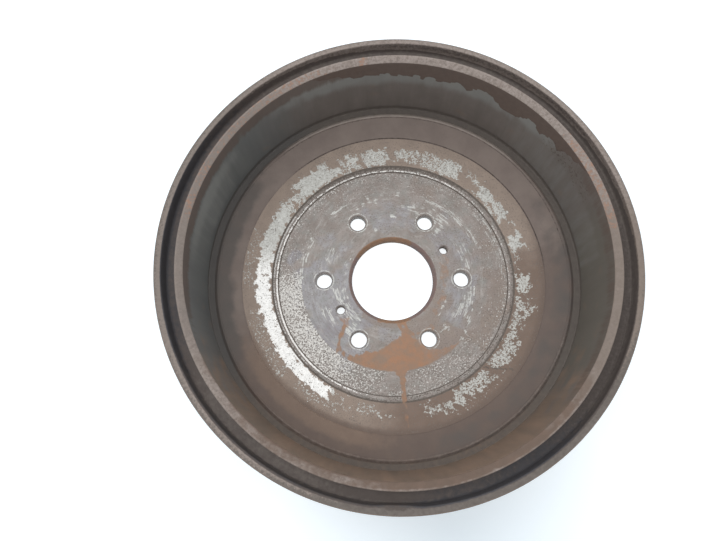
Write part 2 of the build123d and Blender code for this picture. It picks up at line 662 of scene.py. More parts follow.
    def build(self, finishes: Sequence[bpy.types.Material]) -> bpy.types.Object:
        """Make the mesh object, with one material for each zone.

        Args:
            finishes: Materials in the order of the zones.

        Returns:
            The object, at the origin, unturned and unscaled.
        """
        shell = self.shell()
        mesh = bpy.data.meshes.new("drum_casting")
        mesh.from_pydata((shell.points * MM).tolist(), [], shell.faces.tolist())
        mesh.polygons.foreach_set("use_smooth", np.ones(len(mesh.polygons), bool))
        mesh.polygons.foreach_set("material_index", shell.zones.astype(np.int32))
        for finish in finishes:
            mesh.materials.append(finish)
        for name, share in WearAndPaintedLight(shell.points).masks().items():
            layer = mesh.attributes.new(name, "FLOAT", "POINT")
            layer.data.foreach_set("value", share.astype(np.float32))
        mesh.set_sharp_from_angle(angle=SHARP_ANGLE)
        return place_object("drum_casting", mesh)


# ---- Finishes -------------------------------------------------------------------------------
class Bench:
    """The node tree of one material, while it is being made."""

    def __init__(self, name: str) -> None:
        """Start an empty material.

        Args:
            name: Its name.
        """
        self.material = bpy.data.materials.new(name)
        self.material.use_nodes = True
        self.tree = self.material.node_tree
        self.tree.nodes.clear()

    def add(self, kind: str, links: Optional[dict[Any, Any]] = None, **settings: Any) -> Any:
        """Add a node with its settings and links.

        Args:
            kind: Blender's name for the kind of node, without its "ShaderNode".
            links: What goes into each input, by name or by place among those in use: a
                node, one of its outputs, or a plain value.
            settings: The node's own settings.

        Returns:
            The new node.
        """
        node = self.tree.nodes.new("ShaderNode" + kind)
        for name, value in settings.items():
            setattr(node, name, value)
        used = [socket for socket in node.inputs if socket.enabled]
        for place, value in (links or {}).items():
            socket = used[place] if isinstance(place, int) else node.inputs[place]
            if isinstance(value, bpy.types.Node):
                value = next(out for out in value.outputs if out.enabled)
            if isinstance(value, bpy.types.NodeSocket):
                self.tree.links.new(value, socket)
            else:
                socket.default_value = value
        return node


@dataclass(frozen=True)
class Coat:
    """One layer of a finish and how it breaks up along its edges.

    Attributes:
        mask: Mesh attribute that says where the layer lies, 0 to 1, or one value for all.
        colour: Its main colour.
        fleck: Colour mottled through it.
        roughness: Gloss of the layer, 0 mirror to 1 matt.
        grain: Size of its ragged bits, in millimetres.
        ragged: How far the grain eats into the mask's edge.
        opacity: How much of what lies below it hides where it lies.
        metallic: 1 for bare iron, 0 for rust and dirt.
        soft: Width of the edge, as a share of the mask.
        build: Height of the layer over the iron, in millimetres; below 0 for pits.
        lay: Which way its bits lie.
        within: Whether it lies only where the coat below it lies.
    """

    mask: str | float
    colour: str
    fleck: str
    roughness: float
    grain: float
    ragged: float
    opacity: float = 1.0
    metallic: float = 0.0
    soft: float = 0.95
    build: float = 0.0
    lay: Lay = Lay.EVEN
    within: bool = False


@dataclass(frozen=True)
class IronFinish:
    """A finish of grey iron: its ground and its coats, some left by years of use, some painted shade and
    highlights.

    Attributes:
        name: Name of the material.
        colour: Main colour of the ground.
        fleck: Second colour of the ground.
        roughness: Gloss of the ground.
        skin_grain: Size of the surface's bumps, in millimetres.
        skin_depth: Height of those bumps, in millimetres.
        mottle: Size of the ground's light and dark areas, in millimetres.
        metallic: How much of the ground shows as clean metal.
        tool_pitch: Pitch of the turning marks, in millimetres.
        tool_depth: Depth of the turning marks, in millimetres; 0 on a cast skin.
        tool_tint: How far the turning marks tint the ground.
        coats: Layers over the ground, lowest first.
    """

    name: str
    colour: str
    fleck: str
    roughness: float
    skin_grain: float
    skin_depth: float
    mottle: float
    metallic: float = 0.0
    tool_pitch: float = 1.6
    tool_depth: float = 0.0
    tool_tint: float = 0.0
    coats: tuple[Coat, ...] = ()

    def material(self) -> bpy.types.Material:
        """Build the node tree: ground, coats, relief and shader.

        Returns:
            The material.
        """
        bench = Bench(self.name)
        place = bench.add("TexCoord").outputs["Object"]
        tooling = self.grit(bench, place, self.tool_pitch, Lay.TURNED)
        skin = self.grit(bench, place, self.skin_grain, Lay.EVEN)
        blotch = self.grit(bench, place, self.mottle, Lay.EVEN)
        both = bench.add("Math", {0: tooling, 1: self.tool_tint, 2: blotch}, operation="MULTIPLY_ADD")
        middle = 0.5 + 0.5 * self.tool_tint
        share = bench.add(
            "MapRange",
            {"Value": both, "From Min": middle - 0.2, "From Max": middle + 0.2},
            interpolation_type="SMOOTHSTEP",
        )
        colour = bench.add(
            "Mix", {0: share, 1: linear(self.colour), 2: linear(self.fleck)}, data_type="RGBA"
        )
        gloss: Any = self.roughness
        metal: Any = self.metallic
        relief = bench.add("Math", {0: skin, 1: self.skin_depth}, operation="MULTIPLY")
        relief = bench.add(
            "Math", {0: tooling, 1: self.tool_depth, 2: relief}, operation="MULTIPLY_ADD"
        )
        cover: Any = 1.0
        for layer in self.coats:
            below = cover
            cover = self.cover(bench, place, layer)
            if layer.within:
                cover = bench.add("Math", {0: cover, 1: below}, operation="MULTIPLY")
            spots = self.grit(bench, place, 1.7 * layer.grain, layer.lay)
            share = bench.add("MapRange", {"Value": spots, "From Min": 0.35, "From Max": 0.65})
            tone = bench.add(
                "Mix", {0: share, 1: linear(layer.colour), 2: linear(layer.fleck)}, data_type="RGBA"
            )
            colour = bench.add("Mix", {0: cover, 1: colour, 2: tone}, data_type="RGBA")
            gloss = bench.add("Mix", {0: cover, 1: gloss, 2: layer.roughness})
            metal = bench.add("Mix", {0: cover, 1: metal, 2: layer.metallic})
            relief = bench.add(
                "Math", {0: cover, 1: layer.build, 2: relief}, operation="MULTIPLY_ADD"
            )
        bump = bench.add("Bump", {"Height": relief, "Distance": MM, "Strength": 1.0})
        shader = bench.add(
            "BsdfPrincipled",
            {"Base Color": colour, "Roughness": gloss, "Metallic": metal, "Normal": bump},
        )
        bench.add("OutputMaterial", {"Surface": shader})
        return bench.material

    @staticmethod
    def grit(bench: Bench, place: bpy.types.NodeSocket, size: float, lay: Lay) -> Any:
        """Noise whose bits have a given size and lay.

        Turned bits: the noise is read at the bearing's unit vector times TURN_CELLS, with
        radius and height divided by the size as its other two directions, so it changes fast
        across the rings and slowly along them. Run bits: height counts for RUN_SQUEEZE.

        Args:
            bench: The material's nodes.
            place: Object coordinates.
            size: Size of the bits, in millimetres; their width where they are drawn out.
            lay: Which way they lie.

        Returns:
            The noise node.
        """
        fine = 1 / (size * MM)
        octaves = {"Detail": NOISE_DETAIL, "Roughness": NOISE_ROUGHNESS}
        if lay is not Lay.TURNED:
            squeeze = (1.0, 1.0, RUN_SQUEEZE if lay is Lay.RUN else 1.0)
            spot = bench.add("VectorMath", {0: place, 1: squeeze}, operation="MULTIPLY")
            return bench.add("TexNoise", {"Vector": spot, "Scale": fine, **octaves})
        parts = bench.add("SeparateXYZ", {0: place})
        flat = bench.add("CombineXYZ", {0: parts.outputs[0], 1: parts.outputs[1]})
        radius = bench.add("VectorMath", {0: flat}, operation="LENGTH")
        across = bench.add("Math", {0: radius.outputs["Value"], 1: fine}, operation="MULTIPLY")
        bearing = bench.add("VectorMath", {0: flat}, operation="NORMALIZE")
        cells = bench.add("VectorMath", {0: bearing, "Scale": TURN_CELLS}, operation="SCALE")
        lift = bench.add("CombineXYZ", {2: across})
        spot = bench.add("VectorMath", {0: cells, 1: lift}, operation="ADD")
        along = bench.add("Math", {0: parts.outputs[2], 1: fine}, operation="MULTIPLY")
        return bench.add(
            "TexNoise", {"Vector": spot, "W": along, "Scale": 1.0, **octaves}, noise_dimensions="4D"
        )

    @staticmethod
    def cover(bench: Bench, place: bpy.types.NodeSocket, layer: Coat) -> Any:
        """Where one coat covers what lies below it, 0 to its opacity.

        The mask is widened by the raggedness and shifted so that half a mask is covered by
        half; noise of the coat's grain then moves the edge to and fro.

        Args:
            bench: The material's nodes.
            place: Object coordinates.
            layer: The coat.

        Returns:
            The node that gives the cover.
        """
        mask: Any = layer.mask
        if isinstance(mask, str):
            mask = bench.add("Attribute", attribute_name=mask).outputs["Fac"]
        grain = IronFinish.grit(bench, place, layer.grain, layer.lay)
        wide = bench.add(
            "Math", {0: mask, 1: 1 + layer.ragged, 2: -1.5 * layer.ragged}, operation="MULTIPLY_ADD"
        )
        edge = bench.add("Math", {0: grain, 1: 2 * layer.ragged, 2: wide}, operation="MULTIPLY_ADD")
        half = layer.soft / 2
        return bench.add(
            "MapRange",
            {"Value": edge, "From Min": 0.5 - half, "From Max": 0.5 + half, "To Max": layer.opacity},
            interpolation_type="SMOOTHSTEP",
        )


# ---- Wear and painted light -----------------------------------------------------------------
@dataclass(frozen=True)
class Patch:
    """An area between two bearings and two radii.

    Attributes:
        start: Bearing where it starts, in degrees.
        end: Bearing where it ends.
        inner: Radius of its inner edge.
        outer: Radius of its outer edge.
        cover: How solid it is; 0.5 is half covered.
        lean: Degrees that its ends move for each millimetre outwards.
        soft: Width of its soft edges, in millimetres.
        climb: Millimetres that it moves outwards for each degree.
    """

    start: float
    end: float
    inner: float
    outer: float
    cover: float
    lean: float = 0.0
    soft: float = 5.0
    climb: float = 0.0

    def share(self, reach: Array, degrees: Array, ripple: Array) -> Array:
        """Cover at each place.

        Args:
            reach: Distances from the axis.
            degrees: Bearings.
            ripple: Random field that moves the edges.

        Returns:
            The cover, 0 outside the patch.
        """
        middle = (self.start + self.end) / 2 + self.lean * (reach - self.inner)
        off = turn(degrees, middle)
        half = (self.end - self.start) / 2
        level = reach - self.climb * (off + half)
        beside = (half - np.abs(off)) * np.radians(1) * reach
        inside = np.minimum(beside, np.minimum(level - self.inner, self.outer - level))
        ragged = inside / self.soft + 0.25 * ripple
        return self.cover * ramp(ragged, -0.62, 0.38)


def patches(*rows: tuple[float, ...]) -> tuple[Patch, ...]:
    """Patches from rows of their values, in the order of a patch's fields."""
    return tuple(Patch(*row) for row in rows)


@dataclass(frozen=True)
class Stain:
    """A stain on the hub plate, bounded by a few corners.

    Attributes:
        corners: Bearing and radius of each corner of its outline, in order.
        soft: Width of its edge, in millimetres.
        cover: How dense it is.
    """

    corners: tuple[tuple[float, float], ...]
    soft: float
    cover: float = 1.0

    def share(self, x: Array, y: Array) -> Array:
        """1 inside the outline, 0 outside: a ramp of the signed distance to its edges.

        Args:
            x: Places along X.
            y: Places along Y.

        Returns:
            The stain's share at each place.
        """
        bearing, radius = np.radians([c[0] for c in self.corners]), [c[1] for c in self.corners]
        edge = np.stack([radius * np.cos(bearing), radius * np.sin(bearing)], axis=1)
        course = np.roll(edge, -1, axis=0) - edge
        from_x, from_y = x[:, None] - edge[:, 0], y[:, None] - edge[:, 1]
        length = (course**2).sum(axis=1)
        along = np.clip((from_x * course[:, 0] + from_y * course[:, 1]) / length, 0, 1)
        away = np.hypot(from_x - along * course[:, 0], from_y - along * course[:, 1]).min(axis=1)
        end_y = np.roll(edge[:, 1], -1)
        spans = (edge[:, 1] > y[:, None]) != (end_y > y[:, None])
        rise = np.where(course[:, 1] == 0, 1, course[:, 1])
        crossed = spans & (from_x < from_y * course[:, 0] / rise)
        inside = crossed.sum(axis=1) % 2 == 1
        return self.cover * ramp(np.where(inside, away, -away), -self.soft / 2, self.soft / 2)


# Bare iron on the annulus, past the step
BARE = patches(
    (-7, 1.5, 101, 112, 0.66), (2.5, 7.5, 101, 105, 0.45), (4.5, 8, 104, 109, 0.42),
    (8.5, 13, 101, 106, 0.5), (13, 20.5, 101.5, 113, 0.66), (12, 20, 111, 113.5, 0.46),
    (21, 24, 101.5, 104, 0.42), (23, 26, 107, 114, 0.45), (24, 25, 114, 119, 0.42),
    (27, 35, 101.5, 113, 0.63, 0.22), (35.5, 38, 102, 113, 0.56), (37, 46, 102, 112.5, 0.68),
    (36, 50, 111, 114, 0.48), (44, 50, 107, 113, 0.54, 0.3), (50, 54.5, 109, 114.5, 0.54),
    (45, 50, 101, 103, 0.42), (56, 66, 101.5, 116, 0.63, 0.1), (65, 76, 101.5, 115.5, 0.56),
    (74, 82, 102, 109, 0.54), (77, 88, 104.5, 115, 0.57), (91, 102, 101, 115.5, 0.63, 0.06),
    (94, 98.5, 105, 113, 0.6), (103, 112, 101, 108, 0.56), (104.5, 110.5, 107, 115.5, 0.66),
    (110, 114, 102, 115, 0.5), (113, 121, 101, 109, 0.68), (118, 135, 101, 116.5, 0.74, 0.03),
    (133, 141, 101, 111.5, 0.6), (128, 138, 112, 118, 0.46), (141, 149, 101, 115, 0.6),
    (146, 166, 101, 113.5, 0.76), (165, 178, 101, 112.5, 0.74), (158, 184, 114, 124, 0.4),
    (178, 194, 100.8, 112.5, 0.8), (192, 229, 100.8, 110, 0.78), (227, 241, 100.8, 110.5, 0.76),
    (192, 222, 110, 122, 0.41), (226, 247, 110, 118.5, 0.42), (240, 248, 101.5, 105, 0.5),
    (244, 270, 108.5, 111.5, 0.49), (253, 262, 102.5, 111, 0.45), (280, 285, 102.5, 106, 0.5),
    (281, 289, 104.5, 114, 0.52, 0.2), (289.5, 300, 107.5, 113.5, 0.67), (297, 313, 101.5, 110.5, 0.64),
    (296, 315, 110, 114, 0.58), (290, 318, 114, 120, 0.4), (315, 329, 101.5, 114.5, 0.62, 0.3),
    (328, 351, 101.5, 109, 0.62), (327, 342, 110, 114, 0.44), (341, 348.5, 108, 115.5, 0.55),
    (344, 348, 113.5, 117.5, 0.62), (350, 352, 108, 114, 0.46),
)

# Scuffed places on the hub face
SCUFFS = patches(
    (20, 72, 73, 79, 0.46), (72, 76, 97, 98, 0.5), (83, 87, 74, 76, 0.5), (92, 98, 74, 76, 0.5),
    (102, 107, 74, 75.5, 0.48), (99, 122, 69, 72, 0.5), (118, 132, 73.5, 78, 0.5),
    (152, 170, 73.5, 76.5, 0.54), (164, 182, 74.5, 78, 0.5), (46, 58, 60, 68, 0.5, 0, 5, 0.4),
    (47, 74, 63.5, 66, 0.55, 0, 5, 0.16), (66, 84, 58, 62, 0.48, 0, 5, 0.35), (45, 60, 68, 72.5, 0.46),
    (44, 50, 52, 59, 0.5), (86, 90, 53, 58, 0.52), (10, 26, 66.5, 68.5, 0.5), (8, 30, 60, 66, 0.44),
    (104, 109, 45, 47, 0.5), (36, 44, 40, 42, 0.48), (20, 38, 37, 39, 0.46), (150, 176, 38, 42, 0.45),
    (150, 165, 50, 60, 0.42), (188, 232, 40, 52, 0.47), (225, 232, 52, 58, 0.6),
    (202, 218, 56, 64, 0.47), (316, 352, 73.5, 76, 0.56, 0, 5, -0.3), (330, 354, 63, 69, 0.5),
    (318, 338, 46, 50, 0.46, 0, 5, -0.1), (310, 318, 56, 60, 0.48),
    (325, 352, 54, 62, 0.48, 0, 5, 0.25), (1, 40, 88, 95, 0.42),
)

# Lilac-grey areas of the hub face, where the axle's flange kept the rust off
LILAC = patches(
    (8, 50, 44, 72, 0.52, 0, 14), (72, 112, 42, 68, 0.56, 0, 14), (140, 172, 44, 64, 0.5, 0, 16),
    (165, 242, 30, 82, 0.8, 0, 20), (318, 362, 42, 68, 0.58, 0, 12), (250, 284, 40, 52, 0.55, 0, 6),
)

# Dun areas of the hub face, where rust has dusted it
DUN = patches(
    (320, 365, 77, 95, 0.7, 0, 8), (14, 32, 78, 95, 0.52, 0, 8), (62, 78, 76, 93, 0.5, 0, 8),
    (118, 130, 80, 93, 0.5, 0, 6), (288, 345, 36, 52, 0.62, 0, 9), (230, 292, 34, 41, 0.6, 0, 4),
    (276, 322, 55, 75, 0.72, 0, 6), (8, 30, 48, 58, 0.5, 0, 8),
)

# Spots of fresh rust round the bore and the holes
RUSTY = patches(
    (0, 15, 39.5, 42.5, 0.5, 0, 2), (290, 293, 52, 59, 0.5, 0, 2), (306, 309.5, 50, 54, 0.52, 0, 2),
    (289, 311, 48.4, 50, 0.46, 0, 1.2), (217, 226, 49.5, 55, 0.55, 0, 4),
    (312, 332, 35.5, 37, 0.6, 0, 1.5), (250, 292, 34.5, 37, 0.55, 0, 2), (18, 28, 46, 51, 0.44, 0, 3),
    (3, 18, 42.5, 47.5, 0.5, 0, 3), (-14, 4, 41, 44, 0.44, 0, 2.5), (-42, -12, 41, 46, 0.46, 0, 3),
)

# One scratch across the step
SCRATCH = patches((313.5, 314.7, 101, 120, 0.62, 0.38, 0.9))


@dataclass
class WearAndPaintedLight:
    """Where metal, rust and dirt lie on the drum, and where shade and highlights are painted,
    worked out for every vertex.

    A mask runs from 0 to about 1, and what it stands for half covers the iron at 0.5. Left,
    right, top and bottom are meant as seen into the mouth, with +Y at the top.

    Attributes:
        points: N x 3 places, in millimetres.
        pool: The pool of rust below the bore.
        streak: The streak of rust below a jacking hole.
        drip_angle: Bearing of the drip that leaves the pool.
        drip_width: Width of that drip, in millimetres.
        stud_circle: Radius of the circle of stud holes.
        stud_pitch: Degrees from one stud hole to the next.
        lobes: Bearing, half width and height of each lobe on the crust's lower edge.
        drift_waves: Wavelength and seed of the broad random field.
        ripple_waves: Wavelength and seed of the fine random field.
    """

    points: Array
    pool: Stain = Stain(
        ((233, 74), (240, 72.2), (246, 67.4), (252, 62.4), (258, 59.4), (264, 55), (270, 50),
         (276, 48), (278, 44), (276, 39), (270, 36), (288, 36), (287, 41), (288, 51), (291, 56),
         (295, 63), (303, 68), (312, 72.5), (318, 75), (305, 78), (290, 78), (275, 78), (260, 78),
         (245, 78), (236, 77)), 2.6)
    streak: Stain = Stain(
        ((220, 53), (224, 54), (228, 61), (231, 68), (234, 73), (233, 76), (230, 73), (226, 65),
         (222, 58)), 2.5, 0.8)
    drip_angle: float = 274.2
    drip_width: float = 3.3
    stud_circle: float = 57.15
    stud_pitch: float = 60.0
    lobes: tuple[tuple[float, float, float], ...] = (
        (53.0, 7.0, 7.5), (66.5, 2.4, 6.5), (73.5, 6.0, 3.5), (80.3, 1.8, 5.5), (34.5, 2.6, 5.0),
        (42.0, 2.2, 5.0), (86.0, 7.0, 2.5), (100.3, 3.0, 3.5),
    )
    drift_waves: tuple[float, int] = (14.0, 21)
    ripple_waves: tuple[float, int] = (5.0, 22)

    def __post_init__(self) -> None:
        """Work out radii, bearings and the two random fields that move the edges."""
        self.x, self.y, self.z = self.points.T
        self.radius = np.hypot(self.x, self.y)
        self.degrees = np.degrees(np.arctan2(self.y, self.x)) % 360
        self.drift = wave_field(self.points, *self.drift_waves)
        self.ripple = wave_field(self.points, *self.ripple_waves)

    def near(self, bearing: float, none: float, full: float) -> Array:
        """1 within "full" degrees of a bearing, falling to 0 at "none" degrees."""
        return ramp(np.abs(turn(self.degrees, bearing)), none, full)

    def arc(self, start: float, end: float, soft: float) -> Array:
        """1 between two bearings, with soft ends."""
        return band(self.degrees, start, end, soft)

    def ring(self, inner: float, outer: float, soft: float) -> Array:
        """1 between two radii, with soft edges."""
        return band(self.radius, inner, outer, soft)

    def out(self, none: Amount, full: Amount) -> Array:
        """0 at the radius "none", rising to 1 at the radius "full"."""
        return ramp(self.radius, none, full)

    def up(self, none: Amount, full: Amount) -> Array:
        """0 at the height "none", rising to 1 at the height "full"."""
        return ramp(self.z, none, full)

    def spread(self, rows: Sequence[Patch], edge: Array) -> Array:
        """Cover of the densest of some patches, whose edges a random field moves."""
        return np.max([patch.share(self.radius, self.degrees, edge) for patch in rows], axis=0)

    def masks(self) -> dict[str, Array]:
        """Every mask that the finishes name, with a value for each vertex."""
        return {**self.hub(), **self.step(), **self.web(), **self.chamber(), **self.mouth()}

    def hub(self) -> dict[str, Array]:
        """Masks of the hub face and its holes.

        Returns:
            The masks by name.
        """
        face = self.up(7.4, 8.4)
        # Bright speckle between the witness ring and the step
        left = (0.535 - 0.11 * ramp(self.degrees, 222, 262)) * self.arc(168, 274, 34)
        right = (0.41 - 0.04 * ramp(self.degrees, 300, 325)) * self.arc(279, 326, 10)
        speckle = np.max([left, right, 0.33 + 0.08 * self.out(86, 94)], axis=0)
        # Thin rubbed ring round each stud hole, with a painted glint at its edge, by the distance to the
        # nearest hole
        bearing = np.degrees(np.arctan2(self.y, self.x))
        nearest = np.radians(np.round(bearing / self.stud_pitch) * self.stud_pitch)
        off_x = self.x - self.stud_circle * np.cos(nearest)
        off_y = self.y - self.stud_circle * np.sin(nearest)
        rub_and_glint = 0.58 * band(np.hypot(off_x, off_y), 7.7, 8.8, 0.7)
        return {
            "lilac": self.spread(LILAC, self.drift) * face,
            "dun": self.spread(DUN, self.drift) * face,
            "etched": self.ring(75.0, 95.4, 1.0) * (speckle + 0.015 * self.drift),
            "scuff": np.maximum(1.03 * self.spread(SCUFFS, self.ripple), rub_and_glint) * face,
            "rust": self.rust(),
            "bore": self.out(37.2, 35.6),
            "ember": self.out(37.6, 35.8) * np.maximum(self.arc(62, 146, 14), self.arc(248, 292, 16)),
        }

    def rust(self) -> Array:
        """Fresh orange rust: the pool, the streak below a jacking hole, the drip and spots.

        Returns:
            The mask.
        """
        pool = self.pool.share(self.x + self.ripple, self.y + self.ripple) * self.out(76.4, 75.2)
        pool = pool * (0.92 - 0.4 * ramp(self.degrees, 276, 304) - 0.12 * self.out(52, 44))
        streak = self.streak.share(self.x + self.ripple, self.y)
        offset = np.radians(turn(self.degrees, self.drip_angle)) * self.radius
        width = self.drip_width * (1 + 1.6 * self.out(82, 75) - 0.3 * self.out(88, 97))
        drip = ramp(np.abs(offset) + 0.5 * self.ripple, width * 0.85, width * 0.25)
        drip = drip * np.maximum(self.ring(72, 101, 6), 0.5 * self.ring(98, 121, 10))
        spots = self.spread(RUSTY, self.ripple)
        return np.max([pool, streak, drip, spots], axis=0) * self.up(-0.5, 0.5)

    def step(self) -> dict[str, Array]:
        """Masks of the turned step round the hub face.

        Returns:
            The masks by name.
        """
        # Painted glints on the bare metal: dashed round the land but solid on its lower left, and two
        # arcs of flank
        solid = 0.72 * self.near(207, 34.0, 22.0)
        dashed = 0.42 + 0.04 * self.ripple + 0.13 * self.arc(55, 250, 20)
        dashed += 0.06 * self.arc(150, 186, 12) - 0.15 * self.arc(258, 345, 20)
        flank = 0.6 * self.arc(144, 177, 6) + 0.5 * self.arc(177, 226, 6)
        flank = flank * self.ring(97.5, 99.0, 0.5)
        # Dirt in both corners, on flank and land, and in one oblique scratch
        corner = 0.85 * self.ring(94.4, 95.3, 0.3) * self.up(7.9, 8.3)
        foot = 0.85 * self.ring(98.9, 100.3, 0.5)
        slope = (0.45 + 0.12 * self.arc(55, 125, 20)) * self.ring(97.2, 100.2, 0.4)
        land = 0.54 * self.arc(60, 250, 20) + 0.48 * self.arc(264, 348, 20)
        land = land * self.ring(95.4, 97.2, 0.3)
        scratch = self.spread(SCRATCH, 0 * self.z)
        return {
            "glint": np.maximum(flank, self.ring(95.4, 97.0, 0.4) * np.maximum(solid, dashed)),
            "grime": np.max([corner, foot, slope, land, scratch], axis=0),
        }

    def web(self) -> dict[str, Array]:
        """Masks of the annulus and of the cast cone up to the shoulder.

        Returns:
            The masks by name.
        """
        annulus = self.out(99.4, 100.4)
        # The bare iron is burnished most on the left, towards the step
        outer = 110.5 + 2.6 * ramp(self.degrees, 206, 180)
        strip = self.out(outer + 3.5 + self.ripple, outer - 1.5)
        start = 0.25 * ramp(self.degrees, 108, 150) + 0.75 * ramp(self.degrees, 158, 190)
        # Brown on the lower right and along the annulus's edge, painted shade on both sides of the cone
        brown_edge = 0.75 * self.out(115, 124.5) * self.arc(195, 350, 30)
        left = self.near(175, 48, 20) * self.out(125, 138)
        right = 0.5 * self.near(330, 78, 36) * self.out(124, 132)
        # Painted shade lines where the annulus meets the cone and at the shoulder's inner corner,
        # strongest on the right and at the top
        line = self.ring(123.8, 125.0, 0.5) * (0.08 + 0.54 * self.arc(0, 132, 24))
        corner = self.ring(140.1, 140.9, 0.4) * (0.1 + 0.55 * self.arc(0, 140, 30))
        return {
            "bare": self.spread(BARE, self.ripple) * self.up(10.0, 11.0) * (
                1 - 0.1 * self.near(318, 50, 30)),
            "polish": strip * start * ramp(self.degrees, 246, 236),
            "pits": 0.38 - 0.03 * self.near(190, 70, 40) + 0.02 * self.drift,
            "brown": annulus * self.up(10.5, 11.2),
            "dusk": np.maximum(self.near(318, 72, 32), brown_edge) * annulus,
            "hem": 0.9 * self.out(115, 124.8) * self.near(305, 112, 45),
            "apron": 0.8 * self.out(140, 130) * self.arc(202, 268, 30),
            "shade": np.clip(np.maximum(left, right) + 0.1 * self.drift, 0, 1),
            "knee": np.maximum(line, corner),
            # Painted highlight on the shoulder's ridge, strongest at the top and fainter on the lower
            # right
            "ridge": self.ring(141.0, 144.9, 0.8) * (
                self.near(85, 60, 22) + 0.4 * self.arc(215, 350, 40)),
        }

    def chamber(self) -> dict[str, Array]:
        """Masks of the swept wall, of the strip above it and of the run-out groove.

        Returns:
            The masks by name.
        """
        strip = self.out(153, 151)
        # Crust on the strip that the shoes don't reach, with a lobed lower edge
        edge = 75.3 + 0.9 * self.ripple + 0.7 * self.drift
        for bearing, half_width, height in self.lobes:
            edge = edge - height * self.near(bearing, half_width, 0)
        edge = edge + 16 * (1 - self.arc(28, 110, 26))
        # Brown film where the crust has gone
        left = self.up(70, 84) * self.near(148, 60, 38)
        right = 0.62 * self.up(68, 82) * self.near(352, 48, 28)
        # Pale bloom, strongest just below the crust
        top = self.up(52, 74) * self.arc(34, 128, 30) * (0.85 + 0.1 * self.drift)
        side = (0.5 + 0.4 * self.up(55, 70)) * band(self.z, 30, 77, 18) * self.arc(146, 177, 26)
        low = 0.4 * self.near(24, 46, 15) * self.up(78, 60)
        return {
            "cool": self.near(166, 68, 14),
            "olive": self.near(348, 44, 6),
            "crust": self.up(edge - 2.4, edge + 2.4) * strip,
            "scar": 0.4 * self.arc(15, 42, 12) * band(self.z, 61, 82, 10) * self.out(152, 150),
            "tan": np.maximum(left, right) * strip * (0.9 + 0.1 * self.drift),
            "bloom": np.clip(np.max([top, side, low], axis=0), 0, 1),
            "runout": self.up(28.5, 26.0) * self.out(143.0, 145.2) * (1 - 0.35 * self.arc(210, 345, 40)),
            # Painted shade at the foot of the wall on the left
            "gloom": self.up(30, 26) * self.near(165, 62, 30),
        }

    def mouth(self) -> dict[str, Array]:
        """Masks of the two lips and of the labyrinth groove.

        Returns:
            The masks by name.
        """
        # Brown at the bottom, less on the crest and on part of its chamfer
        crest = 0.46 * self.out(152.2, 153.0)
        chamfer = 0.4 * self.arc(205, 266, 20) * self.out(148.7, 149.2) * self.up(86, 89)
        brown = np.clip(self.near(269, 84, 26) + 0.12 * self.drift, 0, 1) * self.out(158, 154.5)
        # Painted shade in the groove, darkest on the left and on its outer wall
        deep = self.out(153.8, 154.8) * self.up(91.4, 89.6) * self.out(164.8, 164.2)
        left = ramp(self.degrees, 92, 175) * ramp(self.degrees, 340, 292)
        floor = 0.5 - 0.34 * self.arc(205, 272, 20) + 0.25 * self.arc(298, 352, 20)
        wall = 0.32 * self.out(161, 163.5) * (1 - 0.5 * self.arc(300, 352, 16))
        # Sludge and painted shade on the groove's outer wall, its floor at the right and the crest's
        # edge
        pool = 0.56 * self.ring(154.6, 163.4, 0.8) * self.up(84, 81) * (1 - 0.8 * self.arc(50, 285, 40))
        smear = 0.41 + 0.16 * self.arc(30, 90, 20) + 0.32 * self.arc(214, 278, 16)
        smear = smear + 0.26 * self.arc(288, 345, 14) * self.up(84, 88)
        smear = smear * self.ring(161.5, 165.0, 0.6) * self.up(81, 87) * self.up(90.6, 90.0)
        edge = 0.5 * self.ring(153.8, 154.4, 0.4) * self.up(88, 90) * self.arc(285, 350, 20)
        # Pale dust on the groove's floor, and painted light in its outer corner except on the left,
        # which lifts the shade there
        dust = 0.5 * self.ring(154.8, 163.2, 0.8) * self.up(83.0, 80.6) * np.maximum(
            self.arc(208, 258, 24), self.near(16, 18, 6))
        corner = self.out(160, 162) * self.up(86, 83) * (1 - self.arc(140, 205, 40))
        # Orange flakes on the shoe lip, and dull skin on the outer lip
        flakes = [0.44 * self.arc(4, 36, 8), 0.4 * self.arc(102, 176, 24),
                  0.53 * self.near(98.5, 2.6, 0.4), 0.46 * self.arc(163, 167, 2)]
        dull = np.maximum(0.78 * self.near(292, 58, 16) + 0.14 * self.arc(205, 248, 16),
                          0.12 * self.near(158, 45, 15))
        return {
            "warm": brown * (1 - np.maximum(crest, chamfer)),
            "groove": self.out(153.8, 154.3) * self.up(91.4, 90.2) * self.out(164.6, 164.2),
            "soot": deep * left * (floor + wall),
            "sump": np.max([pool, smear, edge], axis=0),
            "silt": np.maximum(dust, 0.45 * corner * self.out(165, 164)),
            "flake": np.max(flakes, axis=0) * self.out(155, 154),
            "rim": self.out(162.5, 164.5) * (0.22 + 0.22 * self.out(165.5, 168) + dull),
        }
